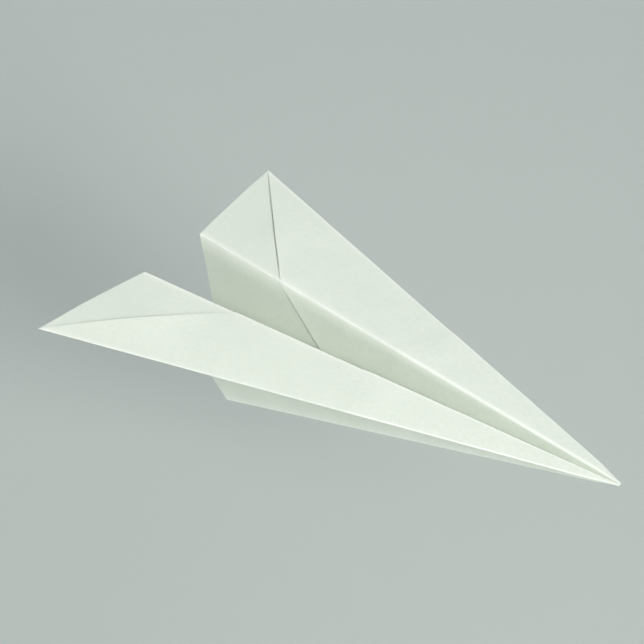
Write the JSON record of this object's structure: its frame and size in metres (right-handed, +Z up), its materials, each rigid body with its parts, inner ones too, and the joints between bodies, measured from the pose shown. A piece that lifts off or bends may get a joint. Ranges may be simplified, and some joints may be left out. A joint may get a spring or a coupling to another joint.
{
  "type": "paper airplane",
  "caption": "Folded paper dart with a narrow keel of two walls, an open V slot between them and two swept triangular wings.",
  "frame": {"origin": "On the keel's lowest line, halfway along the dart and on its middle plane.", "axes": "+X forward to the nose, +Y to the left wing, +Z up."},
  "size_m": [0.2591, 0.133, 0.0721],
  "materials": {
    "paper_outer": "matte uncoated",
    "paper_inner": "matte uncoated"
  },
  "bodies": {
    "left_keel": {"left_keel_skin": "paper_outer", "left_keel_flap": "paper_inner", "left_keel_cover": "paper_inner"},
    "left_wing": {"left_wing_skin": "paper_outer", "left_wing_corner": "paper_inner", "left_wing_flap": "paper_inner", "left_wing_cover": "paper_inner"},
    "right_keel": {"right_keel_skin": "paper_outer", "right_keel_flap": "paper_inner", "right_keel_cover": "paper_inner"},
    "right_wing": {"right_wing_skin": "paper_outer", "right_wing_corner": "paper_inner", "right_wing_flap": "paper_inner", "right_wing_cover": "paper_inner"}
  },
  "joints": [
    {"name": "keel_crease", "type": "hinge", "parent": "left_keel", "child": "right_keel", "pos_m": [0, 0, 0], "axis": [1, 0, 0], "range_deg": [-24, 156]},
    {"name": "left_wing_crease", "type": "hinge", "parent": "left_keel", "child": "left_wing", "pos_m": [0.13253, 0.00098, -0.00021], "axis": [0.96, -0.0582, -0.2739], "range_deg": [-98, 82]},
    {"name": "right_wing_crease", "type": "hinge", "parent": "right_keel", "child": "right_wing", "pos_m": [0.13253, -0.00098, -0.00021], "axis": [-0.96, -0.0582, 0.2739], "range_deg": [-98, 82]}
  ]
}
